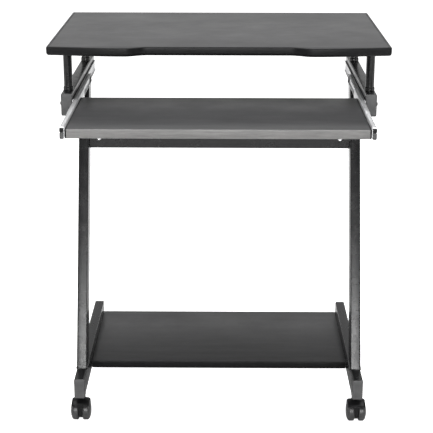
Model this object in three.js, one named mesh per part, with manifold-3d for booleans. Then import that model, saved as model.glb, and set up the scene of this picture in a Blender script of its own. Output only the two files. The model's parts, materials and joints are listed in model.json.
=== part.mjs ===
// Compact computer desk on four twin-wheel casters.
// Two side frames of steel tube carry the desktop on short round posts. A crossbar and a low
// shelf tie the frames together, and a keyboard tray runs between them on three-part ball slides.
// X runs across the desk, Y from the front to the back and Z up from the floor. Until the whole
// desk is centred at the end, Y = 0 is the line through the desktop's front corners.

import * as THREE from "three";
import { mergeVertices } from "three/addons/utils/BufferGeometryUtils.js";
import Module from "manifold-3d";

const wasm = await Module();
wasm.setup();

// ---- Driving dimensions, in millimetres ----

// Desktop
const DESK_WIDTH = 600;
const DESK_DEPTH = 400;
const DESK_HEIGHT = 750;
const BOARD = 15; // thickness of the desktop, the tray and the shelf
const EDGE_TRIM = 2; // thickness of the plastic strip on the board edges
const DESK_CORNER = 4; // corner radius seen from above
const SWELL = 13.5; // how far the front swells forward of its corners
const SWELL_CENTRE = 164; // from the middle of the desk to the crest of each swell
const RECESS_HALF = 124; // half width of the straight middle of the front

// Steel tube of the side frames and the crossbar
const TUBE_WIDTH = 20;
const TUBE_HEIGHT = 40;
const TUBE_WALL = 1.2;
const TUBE_CORNER = 2.5;
const CAP_PLATE = 2; // visible thickness of an end cap
const CAP_PLUG = 8; // how far an end cap reaches into its tube

// Side frames
const SIDE_OVERHANG = 20; // desktop beyond the outer face of a side frame
const RAIL_FRONT = 20; // setback of the side rails from the desktop's front corners
const RAIL_BACK_SETBACK = 0; // setback of the side rails from the desktop's back edge
const BASE_FRONT = 50; // setback of the base rails from the desktop's front corners
const BASE_TAIL = 60; // how far the base rails reach behind the desktop
const UPRIGHT_FOOT_SETBACK = 50; // front of a base rail to the front of its upright
const UPRIGHT_HEAD_SETBACK = 101; // front of the upright's head to the back of the side rail

// Posts between the side rails and the desktop
const POST_HEIGHT = 72;
const POST_RADIUS = 8;
const POST_WALL = 1.5;
const POST_COLLAR_RADIUS = 9;
const POST_COLLAR_HEIGHT = 7;
const POST_FLANGE_RADIUS = 20;
const POST_FLANGE = 3;
const FRONT_POST_SETBACK = 36; // front of the side rail to the post's axis
const REAR_POST_SETBACK = 63; // back of the side rail to the post's axis

// Crossbar and its bolts
const CROSSBAR_DROP = 85; // side rail's underside to the top of the crossbar
const CROSSBAR_BOLT_INSET = 19; // end of the crossbar to the bolt
const TAB_LENGTH = 34; // welded tab that reaches into the crossbar
const TAB_HEIGHT = 30;
const TAB_THICKNESS = 3;
const CROSSBAR_BOLT_RADIUS = 3;
const CROSSBAR_BOLT_HEAD = 5.3;
const NUT_RADIUS = 5.8;
const NUT_HEIGHT = 5;

// Shelf
const SHELF_DEPTH = 268;

// Tray and slides
const TRAY_DEPTH = 240;
const TRAY_CORNER = 2;
const TRAY_OUT = 196; // how far the tray stands pulled out
const TRAY_ABOVE_SLIDE = 4.5; // tray's top above the middle of the slides
const SLIDE_HEIGHT = 20;
const SLIDE_WIDTH = 10.7; // from the side rail to the tray
const RAIL_LIP = 3; // depth of the flanges of the member on the side rail
const MIDDLE_LENGTH = 337;
const MIDDLE_SETBACK = 6; // front of the outer member to the middle one, with the tray closed
const INNER_LENGTH = 296;
const SLIDE_SHEET = 1;
const SLIDE_SETBACK = 1; // front of the side rail to the front of the slide
const SLIDE_DROP = 0.5; // middle of the side rail to the middle of the slide
const BALL_RACE = 1.3; // height of the gap that holds the balls
const CAGE_SHEET = 0.4;
const CAGE_LENGTH = 100;
const STOP_TAB = 1.2; // thickness of the turned-out tab at the front of the inner member
const STOP_TAB_HEIGHT = 20;
const SLIDE_BOLT_RADIUS = 2;
const SLIDE_BOLT_HEAD = 4.5;
const SLIDE_BOLT_FRONT = 15; // front of the side rail to its first slide bolt
const SLIDE_BOLT_BACK = 60; // back of the side rail to its second slide bolt

// Casters
const KINGPIN_INSET = 32; // end of the base rail to the kingpin
const CASTER_TRAIL = 12; // kingpin to the wheels' axle
const WHEEL_RADIUS = 20;
const WHEEL_SHOULDER = 2; // chamfer at the inner edge of the tread
const TREAD_OUTER = 14.5; // middle of the caster to the outer edge of the tread
const WHEEL_DOME = 5.2; // how far the outer face bulges beyond the tread
const AXLE_RADIUS = 2.5;
const AXLE_HALF = 16;
const WEB = 8; // thickness of the caster body between its wheels
const HOOD_GAP = 1.8; // between the wheels and the inside of the hood
const HOOD_WALL = 2.2;
const HOOD_WIDTH = 34;
const HOOD_BACK = -12; // degrees from the rear, about the axle, to the hood's lower end
const HOOD_FRONT = 138; // and to its front edge
const WEB_LIFT = 4; // caster body above the floor
const BOSS_RADIUS = 8;
const BOSS_RISE = 3; // top of the boss above the hood
const KINGPIN_RADIUS = 2.6;
const STEM_COLLAR_RADIUS = 9;
const STEM_COLLAR_HEIGHT = 6; // boss to base rail, with the gaps
const STEM_RADIUS = 4;
const STEM_REACH = 18; // threaded length inside the base rail

// Clearances
const JOIN_GAP = 0.3; // between pieces that are fixed to each other
const RUN_GAP = 0.1; // around a shaft in its bore
const SLIDE_GAP = 0.3; // between neighbouring slide members and their ball cages
const BOLT_GAP = 0.3; // around a bolt in its hole
const WHEEL_GAP = 0.4; // beside a wheel

// Smoothness
const CORNER_STEPS = 1;
const ROUND_SIDES = 24;
const BOLT_SIDES = 12;

// ---- Places that follow from the dimensions ----

const FRAME_OUTER = DESK_WIDTH / 2 - SIDE_OVERHANG;
const FRAME_CENTRE = FRAME_OUTER - TUBE_WIDTH / 2;
const FRAME_INNER = FRAME_OUTER - TUBE_WIDTH;

const DESK_UNDERSIDE = DESK_HEIGHT - BOARD;
const RAIL_TOP = DESK_UNDERSIDE - POST_HEIGHT;
const RAIL_BOTTOM = RAIL_TOP - TUBE_HEIGHT;
const RAIL_MIDDLE = (RAIL_TOP + RAIL_BOTTOM) / 2;
const RAIL_BACK = DESK_DEPTH - RAIL_BACK_SETBACK;
const BASE_BACK = DESK_DEPTH + BASE_TAIL;

const AXLE_HEIGHT = WHEEL_RADIUS;
const HOOD_INNER = WHEEL_RADIUS + HOOD_GAP;
const HOOD_RADIUS = HOOD_INNER + HOOD_WALL;
const BOSS_TOP = AXLE_HEIGHT + HOOD_RADIUS + BOSS_RISE;
const CASTER_HEIGHT = BOSS_TOP + STEM_COLLAR_HEIGHT; // floor to the underside of the base rail
const BASE_TOP = CASTER_HEIGHT + TUBE_HEIGHT;
const BASE_MIDDLE = CASTER_HEIGHT + TUBE_HEIGHT / 2;

// The uprights lean back: a level cut through one is deeper than the tube itself
const UPRIGHT_FOOT = BASE_FRONT + UPRIGHT_FOOT_SETBACK;
const UPRIGHT_HEAD = RAIL_BACK - UPRIGHT_HEAD_SETBACK;
const LEAN = (UPRIGHT_HEAD - UPRIGHT_FOOT) / (RAIL_BOTTOM - BASE_TOP);
const LEVEL_CUT = TUBE_HEIGHT * Math.hypot(1, LEAN);
const LEVEL_WALL = TUBE_WALL * Math.hypot(1, LEAN);

const CROSSBAR_MIDDLE = RAIL_BOTTOM - CROSSBAR_DROP - TUBE_HEIGHT / 2;
const CROSSBAR_Y = UPRIGHT_FOOT + LEAN * (CROSSBAR_MIDDLE - BASE_TOP) + LEVEL_CUT / 2;
const CROSSBAR_BOLT_X = FRAME_INNER - CROSSBAR_BOLT_INSET;

const SLIDE_MIDDLE = RAIL_MIDDLE - SLIDE_DROP;
const SLIDE_FRONT = RAIL_FRONT + SLIDE_SETBACK;
const SLIDE_LENGTH = RAIL_BACK - SLIDE_FRONT;
const TRAY_FRONT = RAIL_FRONT - TRAY_OUT;
const TRAY_TOP = SLIDE_MIDDLE + TRAY_ABOVE_SLIDE;
const TRAY_HALF = FRAME_INNER - SLIDE_WIDTH - JOIN_GAP;

// The slide's outer and inner members are channels that face each other, and the middle one is
// an I section inside both. Distances count from the side rail's inner face towards the tray.
const OUTER_WEB = JOIN_GAP;
const OUTER_TIP = OUTER_WEB + RAIL_LIP;
const INNER_TIP = OUTER_TIP + 2 * SLIDE_GAP;
const OUTER_CAGE_WEB = OUTER_WEB + SLIDE_SHEET + SLIDE_GAP;
const INNER_CAGE_WEB = SLIDE_WIDTH - SLIDE_SHEET - SLIDE_GAP;
const MIDDLE_NEAR = OUTER_CAGE_WEB + CAGE_SHEET + SLIDE_GAP;
const MIDDLE_FAR = INNER_CAGE_WEB - CAGE_SHEET - SLIDE_GAP;
const MIDDLE_HEIGHT = SLIDE_HEIGHT - 2 * (SLIDE_SHEET + BALL_RACE);

const WHEEL_INNER = WEB / 2 + WHEEL_GAP;
const AXLE_BORE = AXLE_RADIUS + RUN_GAP;
const KINGPIN_FOOT = AXLE_HEIGHT + AXLE_RADIUS;

const DESK_CENTRE_Y = (TRAY_FRONT + BASE_BACK) / 2;

const SIDES = { left: -1, right: 1 };
const ENDS = { front: -1, rear: 1 };

// ---- Materials ----

function material(color, roughness, metalness) {
  return new THREE.MeshStandardMaterial({ color, roughness, metalness });
}

const blackPaint = () => material(0x1c1c1e, 0.4, 0.1);
const laminate = () => material(0x5b5b5c, 0.45, 0);
const blackTrim = () => material(0x161617, 0.5, 0);
const paleTrim = () => material(0x9c9b98, 0.55, 0);
const blackPlastic = () => material(0x121213, 0.45, 0);
const glossPlastic = () => material(0x0e0e0f, 0.25, 0);
const zinc = () => material(0xb9bdc2, 0.35, 0.9);
const brightSteel = () => material(0xd0d2d4, 0.25, 0.95);

// ---- Geometry helpers ----

const desk = new THREE.Group();
desk.position.y = -DESK_CENTRE_Y;

function add(name, geometry, meshMaterial, x = 0, y = 0, z = 0) {
  const mesh = new THREE.Mesh(geometry, meshMaterial);
  mesh.name = name;
  mesh.position.set(x, y, z);
  desk.add(mesh);
  return mesh;
}

function roundedRectangle(width, height, radius) {
  const x = width / 2 - radius;
  const y = height / 2 - radius;
  const shape = new THREE.Shape();
  shape.absarc(x, -y, radius, -Math.PI / 2, 0);
  shape.absarc(x, y, radius, 0, Math.PI / 2);
  shape.absarc(-x, y, radius, Math.PI / 2, Math.PI);
  shape.absarc(-x, -y, radius, Math.PI, 1.5 * Math.PI);
  return shape;
}

function tubeSection(width, height, wall, endWall) {
  const shape = roundedRectangle(width, height, TUBE_CORNER);
  const inner = TUBE_CORNER - TUBE_WALL;
  shape.holes.push(roundedRectangle(width - 2 * wall, height - 2 * endWall, inner));
  return shape;
}

// Extrudes a plan drawn in x and y upwards from z = 0
function extrudeUp(shape, height) {
  return new THREE.ExtrudeGeometry(shape, {
    depth: height,
    bevelEnabled: false,
    curveSegments: CORNER_STEPS,
  });
}

// Extrudes a section drawn in x and z towards the back from y = 0
function extrudeBack(shape, length) {
  return extrudeUp(shape, length).rotateX(Math.PI / 2).translate(0, length, 0);
}

// Extrudes a section drawn in y and z across the desk, centred on x = 0
function extrudeAcross(shape, width) {
  const turn = new THREE.Matrix4().makeBasis(
    new THREE.Vector3(0, 1, 0),
    new THREE.Vector3(0, 0, 1),
    new THREE.Vector3(1, 0, 0),
  );
  return extrudeUp(shape, width).applyMatrix4(turn).translate(-width / 2, 0, 0);
}

// Turns a profile of [radius, height] points about the vertical axis
function turned(points, sides = ROUND_SIDES) {
  const profile = points.map(([radius, height]) => new THREE.Vector2(radius, height));
  return new THREE.LatheGeometry(profile, sides).rotateX(Math.PI / 2);
}

function box(x0, x1, y0, y1, z0, z1) {
  const geometry = new THREE.BoxGeometry(x1 - x0, y1 - y0, z1 - z0);
  return geometry.translate((x0 + x1) / 2, (y0 + y1) / 2, (z0 + z1) / 2);
}

// Cylinders centred on the origin; three.js makes them along y
function rodAlongY(radius, length, sides = ROUND_SIDES) {
  return new THREE.CylinderGeometry(radius, radius, length, sides);
}

function rodAlongX(radius, length, sides = ROUND_SIDES) {
  return rodAlongY(radius, length, sides).rotateZ(Math.PI / 2);
}

function rodAlongZ(radius, length, sides = ROUND_SIDES) {
  return rodAlongY(radius, length, sides).rotateX(Math.PI / 2);
}

function toSolid(geometry) {
  const bare = geometry.clone();
  bare.deleteAttribute("normal");
  bare.deleteAttribute("uv");
  const merged = mergeVertices(bare);
  return new wasm.Manifold(
    new wasm.Mesh({
      numProp: 3,
      vertProperties: new Float32Array(merged.attributes.position.array),
      triVerts: new Uint32Array(merged.index.array),
    }),
  );
}

function toGeometry(solid) {
  const mesh = solid.getMesh();
  const geometry = new THREE.BufferGeometry();
  geometry.setAttribute("position", new THREE.BufferAttribute(mesh.vertProperties, 3));
  geometry.setIndex(new THREE.BufferAttribute(mesh.triVerts, 1));
  geometry.computeVertexNormals();
  return geometry;
}

// Joins the geometries of the first list and cuts those of the second list out of them
function shaped(joined, cut = []) {
  let solid = toSolid(joined[0]);
  for (const geometry of joined.slice(1)) {
    solid = solid.add(toSolid(geometry));
  }
  for (const geometry of cut) {
    solid = solid.subtract(toSolid(geometry));
  }
  return toGeometry(solid);
}

// ---- Boards ----

// Desktop seen from above: square back, and a front that swells gently from each corner to a
// crest, then steps back in an S to the straight recess in the middle
function desktopOutline(inset) {
  const side = DESK_WIDTH / 2 - inset;
  const back = DESK_DEPTH - inset;
  const front = inset;
  const crest = inset - SWELL;
  const radius = DESK_CORNER - inset;
  const corner = side - radius;
  const rise = (corner - SWELL_CENTRE) / 3;
  const step = (SWELL_CENTRE - RECESS_HALF) / 3;
  const outline = new THREE.Shape();
  outline.absarc(-corner, back - radius, radius, Math.PI / 2, Math.PI);
  outline.absarc(-corner, front + radius, radius, Math.PI, 1.5 * Math.PI);
  outline.bezierCurveTo(
    -corner + rise, front - SWELL / 3, -SWELL_CENTRE - rise, crest, -SWELL_CENTRE, crest,
  );
  outline.bezierCurveTo(
    -SWELL_CENTRE + step, crest, -RECESS_HALF - step, front, -RECESS_HALF, front,
  );
  outline.lineTo(RECESS_HALF, front);
  outline.bezierCurveTo(RECESS_HALF + step, front, SWELL_CENTRE - step, crest, SWELL_CENTRE, crest);
  outline.bezierCurveTo(SWELL_CENTRE + rise, crest, corner - rise, front - SWELL / 3, corner, front);
  outline.absarc(corner, front + radius, radius, 1.5 * Math.PI, 2 * Math.PI);
  outline.absarc(corner, back - radius, radius, 0, Math.PI / 2);
  return outline;
}

function extrudeDesktop(outline) {
  return new THREE.ExtrudeGeometry(outline, { depth: BOARD, bevelEnabled: false, curveSegments: 6 });
}

function addDesktop() {
  add("desktop_board", extrudeDesktop(desktopOutline(EDGE_TRIM + JOIN_GAP)), laminate(),
    0, 0, DESK_UNDERSIDE);
  const band = desktopOutline(0);
  band.holes.push(desktopOutline(EDGE_TRIM));
  add("desktop_edge_trim", extrudeDesktop(band), blackTrim(), 0, 0, DESK_UNDERSIDE);
}

// The tray's front strip and its board are cut from one rounded outline. The board's own edging
// shows at both ends of the strip.
function addTray() {
  const plan = roundedRectangle(2 * TRAY_HALF, TRAY_DEPTH, TRAY_CORNER);
  const blank = extrudeUp(plan, BOARD).translate(0, TRAY_FRONT + TRAY_DEPTH / 2, 0);
  const seam = TRAY_FRONT + EDGE_TRIM;
  const end = TRAY_HALF - EDGE_TRIM;
  const recess = box(-end, end, TRAY_FRONT - EDGE_TRIM, seam, -BOARD, 2 * BOARD);
  const strip = box(JOIN_GAP - end, end - JOIN_GAP, TRAY_FRONT, seam - JOIN_GAP, 0, BOARD);
  const bottom = TRAY_TOP - BOARD;
  add("tray_board", shaped([blank], [recess]), laminate(), 0, 0, bottom);
  add("tray_front_trim", strip, paleTrim(), 0, 0, bottom);
}

function addShelf() {
  const half = FRAME_INNER - JOIN_GAP;
  const plan = roundedRectangle(2 * half, SHELF_DEPTH, 1);
  add("lower_shelf", extrudeUp(plan, BOARD), laminate(),
    0, BASE_BACK - SHELF_DEPTH / 2, CASTER_HEIGHT);
}

// ---- Side frames ----

// A plate with a plug that fits into the tube behind it
function endCap() {
  const plate = extrudeBack(roundedRectangle(TUBE_WIDTH, TUBE_HEIGHT, TUBE_CORNER), CAP_PLATE);
  const shrink = 2 * (TUBE_WALL + JOIN_GAP);
  const plug = extrudeBack(
    roundedRectangle(TUBE_WIDTH - shrink, TUBE_HEIGHT - shrink, 1), CAP_PLATE + CAP_PLUG,
  );
  return shaped([plate, plug]);
}

// The open length of tube between the two end caps of a level rail
function railTube(front, back) {
  const ends = CAP_PLATE + JOIN_GAP;
  const length = back - front - 2 * ends;
  const section = tubeSection(TUBE_WIDTH, TUBE_HEIGHT, TUBE_WALL, TUBE_WALL);
  return extrudeBack(section, length).translate(0, front + ends, 0);
}

function addEndCaps(kind, side, front, back, middle) {
  const x = SIDES[side] * FRAME_CENTRE;
  add(`${kind}_cap_front_${side}`, endCap(), blackPlastic(), x, front, middle);
  const rear = add(`${kind}_cap_rear_${side}`, endCap(), blackPlastic(), x, back, middle);
  rear.rotation.z = Math.PI;
}

function kingpinY(end) {
  return end === "front" ? BASE_FRONT + KINGPIN_INSET : BASE_BACK - KINGPIN_INSET;
}

// Base rail with a hole and a welded nut for each caster stem
function addBaseRail(side) {
  const floor = -TUBE_HEIGHT / 2;
  const nuts = [];
  const holes = [];
  for (const end of Object.keys(ENDS)) {
    const nut = rodAlongZ(NUT_RADIUS + STEM_RADIUS - CROSSBAR_BOLT_RADIUS, NUT_HEIGHT, 6);
    const nutMiddle = floor + TUBE_WALL / 2 + NUT_HEIGHT / 2;
    nuts.push(nut.translate(0, kingpinY(end), nutMiddle));
    holes.push(rodAlongZ(STEM_RADIUS + BOLT_GAP, 4 * NUT_HEIGHT).translate(0, kingpinY(end), floor));
  }
  const rail = shaped([railTube(BASE_FRONT, BASE_BACK), ...nuts], holes);
  add(`base_rail_${side}`, rail, blackPaint(), SIDES[side] * FRAME_CENTRE, 0, BASE_MIDDLE);
  addEndCaps("base", side, BASE_FRONT, BASE_BACK, BASE_MIDDLE);
}

const SLIDE_BOLT_Y = {
  front: RAIL_FRONT + SLIDE_BOLT_FRONT,
  rear: RAIL_BACK - SLIDE_BOLT_BACK,
};

// Side rail, drilled right through for the bolts that hold its slide
function addSideRail(side) {
  const holes = Object.values(SLIDE_BOLT_Y).map((y) =>
    rodAlongX(SLIDE_BOLT_RADIUS + BOLT_GAP, 2 * TUBE_WIDTH, BOLT_SIDES).translate(0, y, 0),
  );
  const rail = shaped([railTube(RAIL_FRONT, RAIL_BACK)], holes);
  add(`side_rail_${side}`, rail, blackPaint(), SIDES[side] * FRAME_CENTRE, 0, RAIL_MIDDLE);
  addEndCaps("side", side, RAIL_FRONT, RAIL_BACK, RAIL_MIDDLE);
}

// Leaning upright, cut level at both ends, with the welded tab and nut that the crossbar bolts to
function addUpright(side) {
  const sign = SIDES[side];
  const height = RAIL_BOTTOM - BASE_TOP - 2 * JOIN_GAP;
  const section = tubeSection(TUBE_WIDTH, LEVEL_CUT, TUBE_WALL, LEVEL_WALL);
  const lean = new THREE.Matrix4().makeShear(0, 0, 0, 0, 0, LEAN);
  const tube = extrudeUp(section, height).applyMatrix4(lean);
  tube.translate(sign * FRAME_CENTRE, UPRIGHT_FOOT + LEVEL_CUT / 2, BASE_TOP + JOIN_GAP);

  const root = sign * (FRAME_INNER + TUBE_WALL / 2);
  const tip = sign * (FRAME_INNER - TAB_LENGTH);
  const tab = box(
    Math.min(root, tip), Math.max(root, tip),
    CROSSBAR_Y - TAB_THICKNESS / 2, CROSSBAR_Y + TAB_THICKNESS / 2,
    CROSSBAR_MIDDLE - TAB_HEIGHT / 2, CROSSBAR_MIDDLE + TAB_HEIGHT / 2,
  );
  const boltX = sign * CROSSBAR_BOLT_X;
  const nut = rodAlongY(NUT_RADIUS, NUT_HEIGHT, 6);
  nut.translate(boltX, CROSSBAR_Y + NUT_HEIGHT / 2 + TAB_THICKNESS / 4, CROSSBAR_MIDDLE);
  const hole = rodAlongY(CROSSBAR_BOLT_RADIUS + BOLT_GAP, TUBE_WIDTH, BOLT_SIDES);
  hole.translate(boltX, CROSSBAR_Y, CROSSBAR_MIDDLE);
  add(`upright_${side}`, shaped([tube, tab, nut], [hole]), blackPaint());
}

// Round post: a collar on the side rail and a flange under the desktop
function addPosts(side) {
  const bore = POST_RADIUS - POST_WALL;
  const height = POST_HEIGHT - 2 * JOIN_GAP;
  const post = turned([
    [bore, 0],
    [POST_COLLAR_RADIUS, 0],
    [POST_COLLAR_RADIUS, POST_COLLAR_HEIGHT - 1],
    [POST_RADIUS, POST_COLLAR_HEIGHT],
    [POST_RADIUS, height - POST_FLANGE],
    [POST_FLANGE_RADIUS, height - POST_FLANGE],
    [POST_FLANGE_RADIUS, height],
    [bore, height],
    [bore, 0],
  ]);
  const x = SIDES[side] * FRAME_CENTRE;
  const z = RAIL_TOP + JOIN_GAP;
  add(`post_front_${side}`, post, blackPaint(), x, RAIL_FRONT + FRONT_POST_SETBACK, z);
  add(`post_rear_${side}`, post, blackPaint(), x, RAIL_BACK - REAR_POST_SETBACK, z);
}

// ---- Crossbar ----

// A bolt along z: its shank points down from z = 0 and its low domed head sits above the gap
function bolt(radius, headRadius, headHeight, shank) {
  const profile = [
    [0, -shank],
    [radius, -shank],
    [radius, JOIN_GAP],
    [headRadius, JOIN_GAP],
    [headRadius, headHeight / 2],
    [headRadius * 0.7, headHeight],
    [0, headHeight],
  ];
  return turned(profile, BOLT_SIDES);
}

function addCrossbar() {
  const length = 2 * (FRAME_INNER - JOIN_GAP);
  const section = tubeSection(TUBE_WIDTH, TUBE_HEIGHT, TUBE_WALL, TUBE_WALL);
  const frontFace = -TUBE_WIDTH / 2;
  const holes = Object.values(SIDES).map((sign) =>
    rodAlongY(CROSSBAR_BOLT_RADIUS + BOLT_GAP, TUBE_WIDTH / 2, BOLT_SIDES)
      .translate(sign * CROSSBAR_BOLT_X, frontFace, 0),
  );
  add("crossbar", shaped([extrudeAcross(section, length)], holes), blackPaint(),
    0, CROSSBAR_Y, CROSSBAR_MIDDLE);

  const shank = TUBE_WIDTH / 2 + NUT_HEIGHT;
  for (const [side, sign] of Object.entries(SIDES)) {
    const geometry = bolt(CROSSBAR_BOLT_RADIUS, CROSSBAR_BOLT_HEAD, 3.6, shank);
    const mesh = add(`crossbar_bolt_${side}`, geometry, brightSteel(),
      sign * CROSSBAR_BOLT_X, CROSSBAR_Y + frontFace, CROSSBAR_MIDDLE);
    mesh.rotation.x = Math.PI / 2;
  }
}

// ---- Slides ----

// C section in x and z: the web starts at x = web, and both flanges run from it to x = tip
function channel(web, tip, height, sheet) {
  const inside = tip > web ? web + sheet : web - sheet;
  const top = height / 2;
  const shape = new THREE.Shape();
  shape.moveTo(web, -top);
  shape.lineTo(tip, -top);
  shape.lineTo(tip, -top + sheet);
  shape.lineTo(inside, -top + sheet);
  shape.lineTo(inside, top - sheet);
  shape.lineTo(tip, top - sheet);
  shape.lineTo(tip, top);
  shape.lineTo(web, top);
  return shape;
}

// I section in x and z between x = near and x = far
function iSection(near, far, height, sheet) {
  const left = (near + far - sheet) / 2;
  const right = left + sheet;
  const top = height / 2;
  const shape = new THREE.Shape();
  shape.moveTo(near, -top);
  shape.lineTo(far, -top);
  shape.lineTo(far, -top + sheet);
  shape.lineTo(right, -top + sheet);
  shape.lineTo(right, top - sheet);
  shape.lineTo(far, top - sheet);
  shape.lineTo(far, top);
  shape.lineTo(near, top);
  shape.lineTo(near, top - sheet);
  shape.lineTo(left, top - sheet);
  shape.lineTo(left, -top + sheet);
  shape.lineTo(near, -top + sheet);
  return shape;
}

// Slides are drawn on the left rail's inner face; half a turn about y makes the right one
function addSlidePiece(name, side, geometry, y) {
  const mesh = add(`${name}_${side}`, geometry, zinc(), SIDES[side] * FRAME_INNER, y, SLIDE_MIDDLE);
  if (side === "right") {
    mesh.rotation.y = Math.PI;
  }
}

function addSlide(side) {
  // Outer member, fixed to the rail; its bolt holes line up with the rail's
  const flip = side === "right" ? -1 : 1;
  const holes = Object.values(SLIDE_BOLT_Y).map((y) =>
    rodAlongX(SLIDE_BOLT_RADIUS + BOLT_GAP, 4 * SLIDE_SHEET, BOLT_SIDES)
      .translate(OUTER_WEB, y - SLIDE_FRONT, flip * (RAIL_MIDDLE - SLIDE_MIDDLE)),
  );
  const outer = extrudeBack(channel(OUTER_WEB, OUTER_TIP, SLIDE_HEIGHT, SLIDE_SHEET), SLIDE_LENGTH);
  addSlidePiece("slide_outer", side, shaped([outer], holes), SLIDE_FRONT);

  // The middle member has moved half as far as the tray
  const middle = iSection(MIDDLE_NEAR, MIDDLE_FAR, MIDDLE_HEIGHT, SLIDE_SHEET);
  addSlidePiece("slide_middle", side, extrudeBack(middle, MIDDLE_LENGTH),
    SLIDE_FRONT + MIDDLE_SETBACK - TRAY_OUT / 2);

  // Inner member along the tray's edge, with a tab turned out at its front as a stop
  const inner = extrudeBack(
    channel(SLIDE_WIDTH, INNER_TIP, SLIDE_HEIGHT, SLIDE_SHEET), INNER_LENGTH,
  );
  const tab = box(MIDDLE_NEAR, SLIDE_WIDTH - SLIDE_SHEET / 2, -STOP_TAB, SLIDE_SHEET / 4,
    -STOP_TAB_HEIGHT / 2, STOP_TAB_HEIGHT / 2);
  addSlidePiece("slide_inner", side, shaped([inner, tab]), SLIDE_FRONT - TRAY_OUT);

  // With the tray closed each ball cage is in the middle of the shorter of its two members. It
  // moves the mean of what they move.
  const cageHeight = MIDDLE_HEIGHT + BALL_RACE + CAGE_SHEET;
  const outerCage = channel(OUTER_CAGE_WEB, OUTER_TIP, cageHeight, CAGE_SHEET);
  addSlidePiece("slide_cage_outer", side, extrudeBack(outerCage, CAGE_LENGTH),
    SLIDE_FRONT + MIDDLE_SETBACK + (MIDDLE_LENGTH - CAGE_LENGTH) / 2 - TRAY_OUT / 4);
  const innerCage = channel(INNER_CAGE_WEB, INNER_TIP, cageHeight, CAGE_SHEET);
  addSlidePiece("slide_cage_inner", side, extrudeBack(innerCage, CAGE_LENGTH),
    SLIDE_FRONT + (INNER_LENGTH - CAGE_LENGTH) / 2 - (3 * TRAY_OUT) / 4);
}

// Bolts from the rail's outer face through the rail and into the slide's web
function addSlideBolts(side) {
  const sign = SIDES[side];
  const shank = TUBE_WIDTH + OUTER_WEB + SLIDE_SHEET - RUN_GAP;
  for (const [end, y] of Object.entries(SLIDE_BOLT_Y)) {
    const geometry = bolt(SLIDE_BOLT_RADIUS, SLIDE_BOLT_HEAD, 3, shank);
    const mesh = add(`slide_bolt_${end}_${side}`, geometry, blackPaint(),
      sign * FRAME_OUTER, y, RAIL_MIDDLE);
    mesh.rotation.y = sign * Math.PI / 2;
  }
}

// ---- Casters ----

// Half of the twin wheel, turned about x: a blind bore, an inner face, the tread and a domed
// outer face. Its flats, not its corners, lie at the nominal radius.
function wheel() {
  const rim = WHEEL_RADIUS / Math.cos(Math.PI / ROUND_SIDES);
  const points = [
    [0, AXLE_HALF + WHEEL_GAP],
    [AXLE_BORE, AXLE_HALF + WHEEL_GAP],
    [AXLE_BORE, WHEEL_INNER],
    [rim - WHEEL_SHOULDER, WHEEL_INNER],
    [rim, WHEEL_INNER + WHEEL_SHOULDER],
  ];
  const domeSteps = 4;
  for (let i = 0; i < domeSteps; i += 1) {
    const angle = (i / domeSteps) * (Math.PI / 2);
    points.push([rim * Math.cos(angle), TREAD_OUTER + WHEEL_DOME * Math.sin(angle)]);
  }
  points.push([0, TREAD_OUTER + WHEEL_DOME]);
  const profile = points.map(([radius, x]) => new THREE.Vector2(radius, x));
  const geometry = new THREE.LatheGeometry(profile, ROUND_SIDES, Math.PI / ROUND_SIDES);
  return geometry.rotateZ(-Math.PI / 2);
}

// Caster body about the axle: a hood over both wheels, the web between them and the kingpin
// boss behind. The trailing side, where the wheels show, is towards the front.
function casterBody() {
  const hoodStart = THREE.MathUtils.degToRad(HOOD_BACK);
  const hoodEnd = THREE.MathUtils.degToRad(HOOD_FRONT);
  const hoodShape = new THREE.Shape();
  hoodShape.absarc(0, 0, HOOD_RADIUS, hoodStart, hoodEnd);
  hoodShape.absarc(0, 0, HOOD_INNER, hoodEnd, hoodStart, true);
  const hood = new THREE.ExtrudeGeometry(hoodShape, {
    depth: HOOD_WIDTH,
    bevelEnabled: false,
    curveSegments: 6,
  });

  const webShape = new THREE.Shape();
  const webRadius = HOOD_RADIUS - HOOD_WALL / 2;
  webShape.absarc(0, 0, webRadius, hoodStart, hoodEnd);
  webShape.absarc(0, 0, WHEEL_RADIUS - WEB_LIFT, Math.PI, 1.75 * Math.PI);
  const web = extrudeAcross(webShape, WEB);

  const bossTop = BOSS_TOP - AXLE_HEIGHT;
  const boss = rodAlongZ(BOSS_RADIUS, bossTop).translate(0, CASTER_TRAIL, bossTop / 2);
  const clearance = rodAlongX(HOOD_INNER, 2 * HOOD_WIDTH);
  const crown = shaped([boss], [clearance]);

  const turn = new THREE.Matrix4().makeBasis(
    new THREE.Vector3(0, 1, 0),
    new THREE.Vector3(0, 0, 1),
    new THREE.Vector3(1, 0, 0),
  );
  hood.applyMatrix4(turn).translate(-HOOD_WIDTH / 2, 0, 0);
  const axleHole = rodAlongX(AXLE_BORE, 2 * WEB);
  const kingpinFoot = KINGPIN_FOOT - AXLE_HEIGHT;
  const bore = rodAlongZ(KINGPIN_RADIUS + RUN_GAP, 2 * HOOD_RADIUS);
  bore.translate(0, CASTER_TRAIL, kingpinFoot + HOOD_RADIUS);
  return shaped([hood, web, crown], [axleHole, bore]);
}

// Stem: a kingpin journal in the caster body, a collar and a thread up into the base rail
function casterStem() {
  return turned([
    [0, KINGPIN_FOOT + JOIN_GAP],
    [KINGPIN_RADIUS, KINGPIN_FOOT + JOIN_GAP],
    [KINGPIN_RADIUS, BOSS_TOP + JOIN_GAP],
    [STEM_COLLAR_RADIUS, BOSS_TOP + JOIN_GAP],
    [STEM_COLLAR_RADIUS, CASTER_HEIGHT - JOIN_GAP],
    [STEM_RADIUS, CASTER_HEIGHT - JOIN_GAP],
    [STEM_RADIUS, CASTER_HEIGHT + STEM_REACH],
    [0, CASTER_HEIGHT + STEM_REACH],
  ]);
}

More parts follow.
